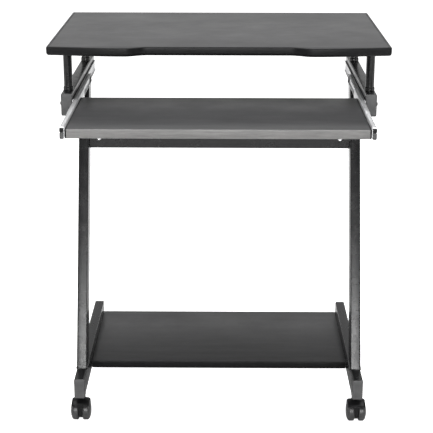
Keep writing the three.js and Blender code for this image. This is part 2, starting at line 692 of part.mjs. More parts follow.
function addCaster(end, side) {
  const name = `caster_${end}_${side}`;
  const x = SIDES[side] * FRAME_CENTRE;
  const y = kingpinY(end);
  const axleY = y - CASTER_TRAIL;
  add(`${name}_stem`, casterStem(), zinc(), x, y, 0);
  add(`${name}_body`, casterBody(), blackPlastic(), x, axleY, AXLE_HEIGHT);
  add(`${name}_axle`, rodAlongX(AXLE_RADIUS, 2 * AXLE_HALF), zinc(), x, axleY, AXLE_HEIGHT);
  add(`${name}_wheel_right`, wheel(), glossPlastic(), x, axleY, AXLE_HEIGHT);
  const left = add(`${name}_wheel_left`, wheel(), glossPlastic(), x, axleY, AXLE_HEIGHT);
  left.rotation.z = Math.PI;
}

// ---- Assembly ----

addDesktop();
addTray();
addShelf();
addCrossbar();
for (const side of Object.keys(SIDES)) {
  addBaseRail(side);
  addSideRail(side);
  addUpright(side);
  addPosts(side);
  addSlide(side);
  addSlideBolts(side);
  for (const end of Object.keys(ENDS)) {
    addCaster(end, side);
  }
}

export default desk;
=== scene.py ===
"""Compact computer desk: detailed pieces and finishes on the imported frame, in metres."""

import json
import math

import bmesh
import bpy
from mathutils import Matrix, Vector


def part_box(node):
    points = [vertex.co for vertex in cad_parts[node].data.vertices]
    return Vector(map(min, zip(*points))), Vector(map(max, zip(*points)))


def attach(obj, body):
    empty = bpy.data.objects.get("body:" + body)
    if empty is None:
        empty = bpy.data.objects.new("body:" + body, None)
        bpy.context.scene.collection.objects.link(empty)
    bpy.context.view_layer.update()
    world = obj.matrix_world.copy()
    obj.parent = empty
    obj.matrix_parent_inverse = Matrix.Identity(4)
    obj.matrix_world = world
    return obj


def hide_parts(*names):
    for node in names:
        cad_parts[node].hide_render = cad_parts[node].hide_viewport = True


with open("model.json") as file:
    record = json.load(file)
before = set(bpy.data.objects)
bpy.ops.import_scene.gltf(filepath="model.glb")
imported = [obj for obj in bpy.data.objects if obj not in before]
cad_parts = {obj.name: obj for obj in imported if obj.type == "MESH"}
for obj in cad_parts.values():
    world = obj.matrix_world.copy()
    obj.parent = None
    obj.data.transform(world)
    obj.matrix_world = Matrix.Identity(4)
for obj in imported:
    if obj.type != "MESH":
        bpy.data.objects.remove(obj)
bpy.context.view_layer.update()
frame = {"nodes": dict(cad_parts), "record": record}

MM = 0.001
SIDES = {"left": -1, "right": 1}
ENDS = ("front", "rear")

# Sizes that the node boxes don't give, the same as in the CAD source
DESK_CORNER = 4 * MM
SWELL = 13.5 * MM
SWELL_CENTRE = 164 * MM
RECESS_HALF = 124 * MM
TUBE_CORNER = 2.5 * MM
EDGE_DEPTH = 5 * MM

# The camera, fitted to the desk's own straight edges, with its angles in degrees
CAMERA_PITCH = 18.0
CAMERA_YAW = -0.43
CAMERA_ROLL = -0.07
CAMERA_LENS = 102.2
CAMERA_PLACE = (0.0122, -2.254, 1.12875)


# ---- Camera, floor and light ----


def add_camera():
    angles = (CAMERA_PITCH, CAMERA_YAW, CAMERA_ROLL)
    pitch, yaw, roll = (math.radians(angle) for angle in angles)
    forward = Vector(
        (math.sin(yaw) * math.cos(pitch), math.cos(yaw) * math.cos(pitch), -math.sin(pitch))
    )
    right = Vector((math.cos(yaw), -math.sin(yaw), 0))
    up = right.cross(forward)
    turn = Matrix((right, up, -forward)).transposed() @ Matrix.Rotation(-roll, 3, "Z")
    data = bpy.data.cameras.new("camera")
    data.sensor_width = 36
    data.lens = CAMERA_LENS
    data.clip_end = 50
    camera = bpy.data.objects.new("camera", data)
    camera.matrix_world = Matrix.Translation(CAMERA_PLACE) @ turn.to_4x4()
    bpy.context.collection.objects.link(camera)
    bpy.context.scene.camera = camera


def add_light(name, place, aim, width, height, power):
    data = bpy.data.lights.new(name, "AREA")
    data.shape = "RECTANGLE"
    data.size = width
    data.size_y = height
    data.energy = power
    light = bpy.data.objects.new(name, data)
    light.location = place
    light.rotation_euler = (Vector(aim) - Vector(place)).to_track_quat("-Z", "Y").to_euler()
    bpy.context.collection.objects.link(light)


def ranged(tree, source, low, high, start, end, smooth=False):
    """Maps low to high onto start to end."""
    made = tree.nodes.new("ShaderNodeMapRange")
    if smooth:
        made.interpolation_type = "SMOOTHSTEP"
    for key, value in (("From Min", low), ("From Max", high), ("To Min", start), ("To Max", end)):
        made.inputs[key].default_value = value
    tree.links.new(source, made.inputs["Value"])
    return made.outputs["Result"]


def depth_of(tree, place):
    """The y of a place, which grows away from the camera."""
    coordinates = tree.nodes.new("ShaderNodeTexCoord")
    split = tree.nodes.new("ShaderNodeSeparateXYZ")
    tree.links.new(coordinates.outputs[place], split.inputs["Vector"])
    return split.outputs["Y"]


def white_to_camera(tree, strength):
    """The strength as it lights the desk, and full white where the camera looks at it."""
    path = tree.nodes.new("ShaderNodeLightPath")
    shown = tree.nodes.new("ShaderNodeMath")
    shown.operation = "MAXIMUM"
    tree.links.new(strength, shown.inputs[0])
    tree.links.new(path.outputs["Is Camera Ray"], shown.inputs[1])
    return shown.outputs["Value"]


def studio_world():
    """A white backdrop behind the desk that fades to a dimmer room in front of it."""
    world = bpy.data.worlds.new("studio")
    world.use_nodes = True
    tree = world.node_tree
    background = tree.nodes["Background"]
    ahead = depth_of(tree, "Generated")
    room = ranged(tree, ahead, low=-0.5, high=0.6, start=0.05, end=0.56, smooth=True)
    tree.links.new(white_to_camera(tree, room), background.inputs["Strength"])
    background.inputs["Color"].default_value = (1, 1, 1, 1)
    return world


def floor_paper():
    """Pale paper. Behind the desk it glows as a lit backdrop does; the camera sees it white."""
    paper = bpy.data.materials.new("floor_paper")
    paper.use_nodes = True
    tree = paper.node_tree
    shader = tree.nodes["Principled BSDF"]
    shader.inputs["Base Color"].default_value = (0.93, 0.93, 0.93, 1)
    shader.inputs["Roughness"].default_value = 0.9
    shader.inputs["Specular IOR Level"].default_value = 0.1
    shader.inputs["Emission Color"].default_value = (1, 1, 1, 1)
    glow = ranged(tree, depth_of(tree, "Object"), low=0.7, high=1.8, start=0.0, end=0.85)
    tree.links.new(white_to_camera(tree, glow), shader.inputs["Emission Strength"])
    return paper


def add_floor():
    reach = 30
    corners = [(-reach, -reach, 0), (reach, -reach, 0), (reach, reach, 0), (-reach, reach, 0)]
    mesh = bpy.data.meshes.new("floor")
    mesh.from_pydata(corners, [], [(0, 1, 2, 3)])
    mesh.materials.append(floor_paper())
    floor = bpy.data.objects.new("floor", mesh)
    bpy.context.collection.objects.link(floor)


def add_studio():
    scene = bpy.context.scene
    scene.view_settings.view_transform = "Standard"
    scene.world = studio_world()
    add_light(
        "front_softbox", place=(0, -3.3, 1.1), aim=(0, 0, 0.1), width=2.4, height=0.25, power=70
    )
    add_light("ceiling", place=(0, -0.1, 2.0), aim=(0, 0, 0.3), width=2.4, height=1.7, power=52)
    for name, sign in SIDES.items():
        place = (sign * 2.0, -0.6, 0.9)
        add_light(f"side_{name}", place, aim=(0, 0, 0.6), width=0.8, height=1.4, power=9)
    add_floor()


# ---- Finishes ----


class Finish:
    """A procedural material: mottled colour and roughness, fine bump and worn edges."""

    def __init__(self, name, metallic=0.0, specular=0.5):
        self.material = bpy.data.materials.new(name)
        self.material.use_nodes = True
        self.tree = self.material.node_tree
        self.shader = self.tree.nodes["Principled BSDF"]
        self.shader.inputs["Metallic"].default_value = metallic
        self.shader.inputs["Specular IOR Level"].default_value = specular
        self.place = self.node("ShaderNodeTexCoord").outputs["Object"]
        self.colour_out = None
        self.rough_out = None

    def node(self, kind, **settings):
        made = self.tree.nodes.new(kind)
        for key, value in settings.items():
            setattr(made, key, value)
        return made

    def link(self, source, target):
        self.tree.links.new(source, target)

    def stretched(self, stretch):
        mapping = self.node("ShaderNodeMapping")
        mapping.inputs["Scale"].default_value = stretch
        self.link(self.place, mapping.inputs["Vector"])
        return mapping.outputs["Vector"]

    def noise(self, scale, detail=3.0, rough=0.5, stretch=(1, 1, 1)):
        made = self.node("ShaderNodeTexNoise")
        made.inputs["Scale"].default_value = scale
        made.inputs["Detail"].default_value = detail
        made.inputs["Roughness"].default_value = rough
        self.link(self.stretched(stretch), made.inputs["Vector"])
        return made.outputs["Fac"]

    def ramp(self, source, low, high, start, end):
        return ranged(self.tree, source, low, high, start, end)

    def mix(self, factor, first, second):
        made = self.node("ShaderNodeMix", data_type="RGBA")
        self.link(factor, made.inputs["Factor"])
        for value, socket in ((first, made.inputs["A"]), (second, made.inputs["B"])):
            if isinstance(value, tuple):
                socket.default_value = (*value, 1)
            else:
                self.link(value, socket)
        return made.outputs["Result"]

    def math(self, operation, first, second):
        made = self.node("ShaderNodeMath", operation=operation, use_clamp=True)
        for value, socket in ((first, made.inputs[0]), (second, made.inputs[1])):
            if isinstance(value, float):
                socket.default_value = value
            else:
                self.link(value, socket)
        return made.outputs["Value"]

    def colour(self, output):
        self.colour_out = output

    def roughness(self, output):
        self.rough_out = output

    def worn_edges(self, radius, colour, amount, rough):
        """Edges rub through to another colour in small patches."""
        bevel = self.node("ShaderNodeBevel", samples=4)
        bevel.inputs["Radius"].default_value = radius
        geometry = self.node("ShaderNodeNewGeometry")
        dot = self.node("ShaderNodeVectorMath", operation="DOT_PRODUCT")
        self.link(bevel.outputs["Normal"], dot.inputs[0])
        self.link(geometry.outputs["Normal"], dot.inputs[1])
        edge = self.ramp(dot.outputs["Value"], 0.985, 0.85, 0.0, 1.0)
        patch = self.ramp(self.noise(90, 4, 0.7), 0.5, 0.68, 0.0, amount)
        worn = self.math("MULTIPLY", edge, patch)
        self.colour_out = self.mix(worn, self.colour_out, colour)
        spread = self.ramp(worn, 0.0, 1.0, 0.0, rough)
        self.rough_out = self.math("ADD", self.rough_out, spread)

    def recess(self, reach, low, high):
        """0 in narrow hollows to 1 on open faces: the mask for painted shade in hollows, where shade
        falls.
        """
        made = self.node("ShaderNodeAmbientOcclusion", samples=8)
        made.inputs["Distance"].default_value = reach
        return self.ramp(made.outputs["AO"], low, high, 0.0, 1.0)

    def bump(self, height, strength, distance):
        made = self.node("ShaderNodeBump")
        made.inputs["Strength"].default_value = strength
        made.inputs["Distance"].default_value = distance
        self.link(height, made.inputs["Height"])
        before = self.shader.inputs["Normal"]
        if before.is_linked:
            self.link(before.links[0].from_socket, made.inputs["Normal"])
        self.link(made.outputs["Normal"], before)

    def done(self):
        self.link(self.colour_out, self.shader.inputs["Base Color"])
        self.link(self.rough_out, self.shader.inputs["Roughness"])
        return self.material


def powder_coat():
    """Semi-gloss black powder coat: orange peel, faint clouds of dust, rubbed edges."""
    f = Finish("powder_coat", specular=0.35)
    f.colour(f.mix(f.noise(14, 4, 0.6), (0.006, 0.006, 0.0065), (0.012, 0.012, 0.0125)))
    f.roughness(f.ramp(f.noise(30, 5, 0.65), 0.3, 0.7, 0.20, 0.31))
    f.worn_edges(1.0 * MM, (0.09, 0.09, 0.09), 0.5, 0.15)
    f.bump(f.noise(700, 2, 0.5), 0.12, 0.12 * MM)
    return f.done()


def laminate():
    """Graphite laminate: fine speckle, a faint grain across the board and a pored surface."""
    f = Finish("laminate", specular=0.36)
    grain = f.noise(60, 6, 0.7, (0.12, 1, 1))
    speckle = f.noise(1400, 2, 0.5)
    base = f.mix(f.ramp(grain, 0.35, 0.65, 0.0, 1.0), (0.022, 0.022, 0.023), (0.034, 0.034, 0.035))
    f.colour(f.mix(f.ramp(speckle, 0.55, 0.75, 0.0, 0.5), base, (0.062, 0.062, 0.063)))
    f.roughness(f.ramp(f.noise(9, 5, 0.6), 0.3, 0.7, 0.30, 0.42))
    f.bump(grain, 0.05, 0.1 * MM)
    f.bump(speckle, 0.15, 0.05 * MM)
    return f.done()


def edge_trim():
    """Black edging, rubbed along its corners."""
    f = Finish("edge_trim", specular=0.12)
    f.colour(f.mix(f.noise(40, 4, 0.6, (1, 1, 6)), (0.005, 0.005, 0.0055), (0.012, 0.012, 0.0125)))
    f.roughness(f.ramp(f.noise(25, 4, 0.6), 0.3, 0.7, 0.26, 0.38))
    f.worn_edges(1.2 * MM, (0.10, 0.10, 0.10), 0.6, 0.1)
    f.bump(f.noise(900, 2, 0.5, (0.3, 0.3, 1)), 0.12, 0.08 * MM)
    return f.done()


def tray_trim():
    """Light grey strip with a scuffed, slightly streaked face."""
    f = Finish("tray_trim", specular=0.4)
    streak = f.noise(30, 6, 0.75, (0.5, 1, 8))
    f.colour(f.mix(f.ramp(streak, 0.3, 0.7, 0.0, 1.0), (0.115, 0.114, 0.112), (0.205, 0.202, 0.197)))
    f.roughness(f.ramp(f.noise(60, 4, 0.6), 0.3, 0.7, 0.38, 0.55))
    f.worn_edges(1.0 * MM, (0.06, 0.06, 0.06), 0.5, 0.1)
    f.bump(f.noise(800, 2, 0.5, (0.25, 1, 1)), 0.12, 0.08 * MM)
    return f.done()


def zinc():
    """Zinc plate: bright, with rolling lines along the slide, cloudy grey patches and painted shade
    in its hollows.
    """
    f = Finish("zinc", metallic=0.5)
    cloud = f.noise(35, 5, 0.65)
    lines = f.noise(900, 2, 0.5, (1, 0.02, 1))
    base = f.mix(f.ramp(cloud, 0.35, 0.65, 0.0, 1.0), (0.46, 0.465, 0.47), (0.62, 0.62, 0.63))
    rolled = f.mix(f.ramp(lines, 0.4, 0.7, 0.0, 0.5), base, (0.70, 0.70, 0.70))
    # Painted shade: near-black mixed into the slide channels and other hollows by ambient occlusion.
    f.colour(f.mix(f.recess(7 * MM, 0.2, 0.6), (0.05, 0.05, 0.05), rolled))
    f.roughness(f.ramp(cloud, 0.3, 0.7, 0.28, 0.46))
    f.bump(lines, 0.10, 0.03 * MM)
    return f.done()


def bright_steel():
    """Polished bolts, screws and balls."""
    f = Finish("bright_steel", metallic=1.0)
    f.colour(f.mix(f.noise(300, 4, 0.6), (0.60, 0.60, 0.61), (0.76, 0.76, 0.77)))
    f.roughness(f.ramp(f.noise(500, 4, 0.6), 0.3, 0.7, 0.16, 0.30))
    f.bump(f.noise(1500, 2, 0.5), 0.08, 0.03 * MM)
    return f.done()


def black_plastic():
    """Moulded plastic with a fine spark-eroded texture."""
    f = Finish("black_plastic", specular=0.18)
    f.colour(f.mix(f.noise(60, 4, 0.6), (0.004, 0.004, 0.0045), (0.010, 0.010, 0.0105)))
    f.roughness(f.ramp(f.noise(80, 4, 0.6), 0.3, 0.7, 0.30, 0.42))
    f.worn_edges(0.8 * MM, (0.07, 0.07, 0.07), 0.4, 0.1)
    f.bump(f.noise(1600, 3, 0.6), 0.25, 0.06 * MM)
    return f.done()


def cap_plastic():
    """Softer mid-grey plastic of the tube caps; on the slide bumper this grey is painted reflection.
    """
    f = Finish("cap_plastic", specular=0.5)
    cloud = f.noise(45, 5, 0.65)
    # Mid grey, lighter than black_plastic; where the bumper wears it, this grey is painted
    # reflection.
    f.colour(f.mix(f.ramp(cloud, 0.3, 0.7, 0.0, 1.0), (0.052, 0.052, 0.053), (0.080, 0.080, 0.081)))
    f.roughness(f.ramp(f.noise(120, 4, 0.6), 0.3, 0.7, 0.42, 0.60))
    f.worn_edges(0.8 * MM, (0.14, 0.14, 0.14), 0.5, 0.1)
    f.bump(f.noise(1300, 3, 0.6), 0.25, 0.06 * MM)
    return f.done()


def gloss_plastic():
    """Polished nylon wheels, scuffed and dusty in patches."""
    f = Finish("gloss_plastic", specular=0.8)
    scuff = f.ramp(f.noise(220, 6, 0.75, (0.25, 1, 1)), 0.52, 0.72, 0.0, 0.7)
    dark = f.mix(f.noise(50, 4, 0.6), (0.007, 0.007, 0.008), (0.015, 0.015, 0.016))
    f.colour(f.mix(scuff, dark, (0.06, 0.058, 0.055)))
    f.roughness(f.ramp(scuff, 0.0, 0.7, 0.36, 0.50))
    f.bump(f.noise(500, 3, 0.6), 0.08, 0.05 * MM)
    return f.done()


def black_bolt():
    """Blackened bolt heads, worn to steel at their edges."""
    f = Finish("black_bolt", specular=0.5)
    f.colour(f.mix(f.noise(400, 4, 0.6), (0.010, 0.010, 0.011), (0.028, 0.028, 0.028)))
    f.roughness(f.ramp(f.noise(300, 4, 0.6), 0.3, 0.7, 0.28, 0.42))
    f.worn_edges(0.4 * MM, (0.25, 0.25, 0.25), 0.5, 0.0)
    f.bump(f.noise(1500, 2, 0.5), 0.1, 0.03 * MM)
    return f.done()


# ---- Mesh helpers ----


def loft(rings, loop=False):
    """Quads between rings of equal length. The ends are capped, or joined to each other."""
    count = len(rings[0])
    points = [Vector(p) for ring in rings for p in ring]
    faces = []
    for i in range(len(rings) if loop else len(rings) - 1):
        a = i * count
        b = (i + 1) % len(rings) * count
        for k in range(count):
            n = (k + 1) % count
            faces.append((a + k, a + n, b + n, b + k))
    if not loop:
        last = (len(rings) - 1) * count
        faces.append(tuple(range(count - 1, -1, -1)))
        faces.append(tuple(last + k for k in range(count)))
    return points, faces


def across(axis, height, a, b, centre):
    """The point at a height along an axis through centre, and at (a, b) across it."""
    local = {"X": (height, a, b), "Y": (a, height, b), "Z": (a, b, height)}[axis]
    return Vector(local) + Vector(centre)


def lathe(profile, sides, axis, centre, flip=1):
    """Turns (radius, height) points about an axis through centre. flip mirrors the heights."""
    rings = []
    for radius, height in profile:
        ring = []
        for k in range(sides):
            angle = 2 * math.pi * k / sides
            a, b = radius * math.cos(angle), radius * math.sin(angle)
            ring.append(across(axis, height * flip, a, b, centre))
        rings.append(ring)
    return loft(rings)


def merged(*shells):
    """Several shells as one mesh."""
    points, faces = [], []
    for more, polygons in shells:
        start = len(points)
        points.extend(more)
        faces.extend(tuple(start + k for k in polygon) for polygon in polygons)
    return points, faces


def piece(name, shell, body, slot, replaces, angle=35, finish=None):
    """Makes the mesh, gives it its finish and lets it ride on its body."""
    points, faces = shell
    bm = bmesh.new()
    made = [bm.verts.new(p) for p in points]
    for polygon in faces:
        bm.faces.new([made[k] for k in polygon])
    bmesh.ops.remove_doubles(bm, verts=bm.verts, dist=1e-7)
    bmesh.ops.dissolve_degenerate(bm, dist=1e-8, edges=bm.edges)
    bmesh.ops.recalc_face_normals(bm, faces=bm.faces)
    mesh = bpy.data.meshes.new(name)
    bm.to_mesh(mesh)
    bm.free()
    mesh.shade_smooth()
    mesh.set_sharp_from_angle(angle=math.radians(angle))
    mesh.materials.append(FINISHES[finish or slot])
    obj = bpy.data.objects.new(name, mesh)
    bpy.context.collection.objects.link(obj)
    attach(obj, body)
    if replaces:
        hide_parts(*([replaces] if isinstance(replaces, str) else replaces))
    return obj


def rounded_rectangle(width, height, radius, steps=4):
    """Loop of (x, y) points, anticlockwise, centred on the origin."""
    points = []
    for cx, cy, start in ((1, -1, -90), (1, 1, 0), (-1, 1, 90), (-1, -1, 180)):
        for k in range(steps + 1):
            angle = math.radians(start + 90 * k / steps)
            points.append((
                cx * (width / 2 - radius) + radius * math.cos(angle),
                cy * (height / 2 - radius) + radius * math.sin(angle),
            ))
    return points


def bent_sheet(path, sheet):
    """Closed loop around an open path of (x, z) points, half a sheet to each side."""
    left, right = [], []
    for k, (x, z) in enumerate(path):
        ahead = Vector(path[min(k + 1, len(path) - 1)]) - Vector((x, z))
        behind = Vector((x, z)) - Vector(path[max(k - 1, 0)])
        ahead = ahead.normalized() if ahead.length else behind.normalized()
        behind = behind.normalized() if behind.length else ahead
        way = (ahead + behind).normalized()
        reach = sheet / 2 / max(0.4, way.dot(ahead))
        side = Vector((-way.y, way.x)) * reach
        left.append((x + side.x, z + side.y))
        right.append((x - side.x, z - side.y))
    return left + right[::-1]


def middle(node):
    """The centre of a node's box."""
    low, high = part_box(node)
    return (low + high) / 2


def size(node):
    """The lengths of a node's box."""
    low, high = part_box(node)
    return high - low


# ---- Boards ----


def bezier(a, b, c, d, steps):
    """A cubic curve from a to d, without its first point."""
    points = []
    for k in range(1, steps + 1):
        t = k / steps
        s = 1 - t
        points.append(tuple(
            s ** 3 * p + 3 * s * s * t * q + 3 * s * t * t * r + t ** 3 * u
            for p, q, r, u in zip(a, b, c, d)
        ))
    return points


def desktop_outline(inset):
    """The desktop's plan, the same curve as in the CAD source, drawn finer."""
    low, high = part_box("desktop_edge_trim")
    side = high.x - inset
    back = high.y - inset
    front = low.y + SWELL + inset
    crest = low.y + inset
    radius = max(DESK_CORNER - inset, 0.5 * MM)
    corner = side - radius
    rise = (corner - SWELL_CENTRE) / 3
    step = (SWELL_CENTRE - RECESS_HALF) / 3
    half = []
    for start, centre in ((90, back - radius), (0, front + radius)):
        for k in range(9):
            angle = math.radians(start - 90 * k / 8)
            half.append((corner + radius * math.cos(angle), centre + radius * math.sin(angle)))
    half += bezier(
        (corner, front), (corner - rise, front - SWELL / 3),
        (SWELL_CENTRE + rise, crest), (SWELL_CENTRE, crest), 24,
    )
    half += bezier(
        (SWELL_CENTRE, crest), (SWELL_CENTRE - step, crest),
        (RECESS_HALF + step, front), (RECESS_HALF, front), 14,
    )
    return half + [(-x, y) for x, y in reversed(half)]


def at_height(loop, z):
    return [(x, y, z) for x, y in loop]


def plan(half, y0, y1, z):
    """A level rectangle, centred across the desk."""
    return at_height([(-half, y0), (half, y0), (half, y1), (-half, y1)], z)


def add_desktop():
    """The laminate board, and the moulded edging around it."""
    low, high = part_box("desktop_edge_trim")
    side = desktop_outline(EDGE_DEPTH + 0.15 * MM)
    eased = desktop_outline(EDGE_DEPTH + 0.5 * MM)
    board = loft([
        at_height(side, low.z + 0.1 * MM),
        at_height(side, high.z - 0.15 * MM),
        at_height(eased, high.z),
    ])
    piece("desktop_laminate", board, "frame", "laminate", "desktop_board")

    # (inset, height) of the moulded edge, rounder below than above
    thickness = 15
    section = [
        (5.0, 0.0), (4.2, 0.0), (2.7, 0.5), (1.4, 1.5), (0.5, 2.9), (0.1, 4.4), (0.0, 6.0),
        (0.0, 13.2), (0.15, 14.0), (0.5, 14.6), (1.1, 14.95), (5.0, thickness),
    ]
    rings = [
        at_height(desktop_outline(inset * MM), low.z + height / thickness * (high.z - low.z))
        for inset, height in section
    ]
    piece("desktop_moulding", loft(rings, loop=True), "frame", "edge_trim", "desktop_edge_trim", 50)


def add_tray():
    """The laminate board, its black side edging and the grey strip along its front."""
    low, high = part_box("tray_board")
    strip_low, strip_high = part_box("tray_front_trim")
    edge = 1.7 * MM
    gap = 0.15 * MM
    seam = strip_high.y + 0.3 * MM
    half = high.x - edge - gap

    board = loft([
        plan(half, seam, high.y - 0.5 * MM, low.z),
        plan(half, seam, high.y, low.z + 0.5 * MM),
        plan(half, seam, high.y, high.z - 0.15 * MM),
        plan(half - 0.2 * MM, seam + 0.3 * MM, high.y - 0.4 * MM, high.z),
    ])
    piece("tray_laminate", board, "tray", "laminate", "tray_board")

    # Black edging down both sides, its front corners eased
    for side, sign in SIDES.items():
        section = [
            (half + gap, 0.0), (high.x - 0.5 * MM, 0.0), (high.x, 0.6), (high.x, 14.4),
            (high.x - 0.5 * MM, 15.0), (half + gap, 15.0),
        ]
        rings = []
        for y, ease in (
            (low.y, 0.8), (low.y + 0.2 * MM, 0.3), (low.y + 0.8 * MM, 0.0), (high.y, 0.0)
        ):
            rings.append([
                (sign * (x - (ease * MM if x > half + edge / 2 else 0)), y, low.z + z * MM)
                for x, z in section
            ])
        piece(f"tray_edge_{side}", loft(rings), "tray", "edge_trim", (), 50)

    # Front strip with rounded long edges
    section = [
        (3.0, 0.0), (0.9, 0.0), (0.25, 0.5), (0.0, 1.6), (0.0, 13.4), (0.25, 14.5), (0.9, 15.0),
        (3.0, 15.0),
    ]
    depth = strip_high.y - strip_low.y
    rings = []
    for x in (strip_low.x, strip_high.x):
        rings.append([
            (x, strip_low.y + min(y * MM, depth), low.z + z * MM) for y, z in section
        ])
    piece("tray_strip", loft(rings), "tray", "tray_trim", "tray_front_trim", 50)


def add_shelf():
    """The board between the base rails, with edging on its front and rear."""
    low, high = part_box("lower_shelf")
    edge = 1.2 * MM

    board = loft([
        plan(high.x, low.y + edge, high.y - edge, low.z),
        plan(high.x, low.y + edge, high.y - edge, high.z - 0.1 * MM),
        plan(high.x, low.y + edge + 0.2 * MM, high.y - edge - 0.2 * MM, high.z),
    ])
    piece("shelf_laminate", board, "frame", "laminate", "lower_shelf")
    gap = 0.1 * MM
    ease = 0.4 * MM
    for name, outer, inner, face in (
        ("front", low.y, low.y + edge - gap, -1), ("rear", high.y, high.y - edge + gap, 1)
    ):
        rings = []
        for x in (-high.x, high.x):
            rings.append([
                (x, inner, low.z), (x, outer - face * ease, low.z),
                (x, outer, low.z + 0.6 * MM), (x, outer, high.z - 0.6 * MM),
                (x, outer - face * ease, high.z), (x, inner, high.z),
            ])
        piece(f"shelf_edge_{name}", loft(rings), "frame", "edge_trim", (), 50)


# ---- Frame ----


def add_rails():
    """The side rails and the base rails, with a cap in each end."""
    for side in SIDES:
        for kind in ("base", "side"):
            node = f"{kind}_rail_{side}"
            low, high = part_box(node)
            centre = (low + high) / 2
            width, _, height = high - low
            loop = rounded_rectangle(width, height, TUBE_CORNER)
            rings = [
                [(centre.x + px, y, centre.z + pz) for px, pz in loop] for y in (low.y, high.y)
            ]
            piece(f"{node}_tube", loft(rings), "frame", "powder_coat", node)
            for end in ENDS:
                add_cap(f"{kind}_cap_{end}_{side}", end, centre, width, height)


def add_cap(node, end, centre, width, height):
    """A push-in cap: softly domed plate with a shallow step round its rim."""
    low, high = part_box(node)
    face, inward = (low.y, 1) if end == "front" else (high.y, -1)
    rings = []
    for shrink, depth in (
        (0.1, 2.2), (0.0, 2.0), (0.0, 1.3), (0.5, 0.7), (1.4, 0.35), (3.4, 0.1), (5.5, 0.0)
    ):
        loop = rounded_rectangle(
            width - 2 * shrink * MM, height - 2 * shrink * MM,
            max(TUBE_CORNER - shrink * MM * 0.3, 1 * MM),
        )
        y = face + inward * depth * MM
        rings.append([(centre.x + px, y, centre.z + pz) for px, pz in loop])
    piece(f"{node}_plate", loft(rings), "frame", "black_plastic", node, 25, "cap_plastic")


def level_span(node, top):
    """How far a node's end face reaches in y, at its top or its bottom."""
    low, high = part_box(node)
    z = high.z if top else low.z
    ys = [v.co.y for v in frame["nodes"][node].data.vertices if abs(v.co.z - z) < 0.1 * MM]
    return min(ys), max(ys), z


def add_uprights():
    """The leaning tubes between base and side rails, welded at foot and head."""
    for side in SIDES:
        node = f"upright_{side}"
        rail = middle(f"base_rail_{side}")
        width = size(f"base_rail_{side}").x
        rings = []
        for top in (False, True):
            y0, y1, z = level_span(node, top)
            loop = rounded_rectangle(width, y1 - y0, TUBE_CORNER)
            rings.append([(rail.x + px, (y0 + y1) / 2 + py, z) for px, py in loop])
        piece(f"{node}_tube", loft(rings), "frame", "powder_coat", node)
        for place, top in (("foot", False), ("head", True)):
            add_weld(f"weld_{place}_{side}", rings[1 if top else 0], -1 if top else 1)


def add_weld(name, ring, way):
    """A small rippled fillet weld around the end of a tube."""
    stride = 1.6 * MM
    root = 0.3
    steps = []
    for k, point in enumerate(ring):
        following = Vector(ring[(k + 1) % len(ring)])
        here = Vector(point)
        parts = max(1, int((following - here).length / stride))
        steps += [here.lerp(following, n / parts) for n in range(parts)]
    centre = sum(steps, Vector()) / len(steps)
    rings = []
    for k, point in enumerate(steps):
        ahead = steps[(k + 1) % len(steps)] - steps[k - 1]
        out = Vector((ahead.y, -ahead.x, 0)).normalized()
        if out.dot(point - centre) < 0:
            out = -out
        ripple = 1 + 0.16 * math.sin(k * 2.1) + 0.08 * math.sin(k * 0.7)
        leg = 1.5 * MM * ripple
        base = point - out * root * MM
        up = Vector((0, 0, way * leg))
        rings.append([
            base, base + out * (leg + root * MM), base + out * leg * 0.75 + up * 0.5,
            base + out * leg * 0.3 + up * 0.9, base + up,
        ])
    piece(name, loft(rings, loop=True), "frame", "powder_coat", (), 80)


def add_crossbar():
    """The tube between the uprights, with a bolt at each end."""
    low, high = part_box("crossbar")
    centre = (low + high) / 2
    loop = rounded_rectangle(high.y - low.y, high.z - low.z, TUBE_CORNER)
    rings = [
        [(x, centre.y + py, centre.z + pz) for py, pz in loop] for x in (low.x, high.x)
    ]
    piece("crossbar_tube", loft(rings), "frame", "powder_coat", "crossbar")
    for side in SIDES:
        node = f"crossbar_bolt_{side}"
        spot = middle(node)
        radius = size(node).x / 2
        add_bolt(node, (spot.x, low.y, spot.z), "Y", -1, radius, 3.6 * MM, "bright_steel")


def add_bolt(node, place, axis, way, radius, height, slot):
    """Domed head with a washer face and a six-sided socket."""
    r, h = radius, height
    socket = 0.42 * r
    sides = 48
    head = [
        (0, 0.0), (r * 0.98, 0.0), (r, 0.06 * h), (r, 0.18 * h), (r * 0.97, 0.30 * h),
        (r * 0.88, 0.55 * h), (r * 0.74, 0.77 * h), (r * 0.58, 0.92 * h), (socket * 1.12, h),
    ]
    points, faces = lathe(head, sides, axis, place, way)

    def hexagon(scale, depth):
        ring = []
        for k in range(sides):
            angle = 2 * math.pi * k / sides
            turn = (angle % (math.pi / 3)) - math.pi / 6
            reach = socket * scale * math.cos(math.pi / 6) / math.cos(turn)
            a, b = reach * math.cos(angle), reach * math.sin(angle)
            ring.append(across(axis, depth * way, a, b, place))
        return ring

    # The socket's rings go in place of the cap on the last ring
    faces = faces[:-1]
    start = len(points) - sides
    for ring in (hexagon(1.0, h * 0.97), hexagon(0.98, h * 0.35)):
        base = len(points)
        points.extend(ring)
        for k in range(sides):
            n = (k + 1) % sides
            faces.append((start + k, start + n, base + n, base + k))
        start = base
    faces.append(tuple(start + k for k in range(sides)))
    piece(f"{node}_head", (points, faces), "frame", slot, node, 35)


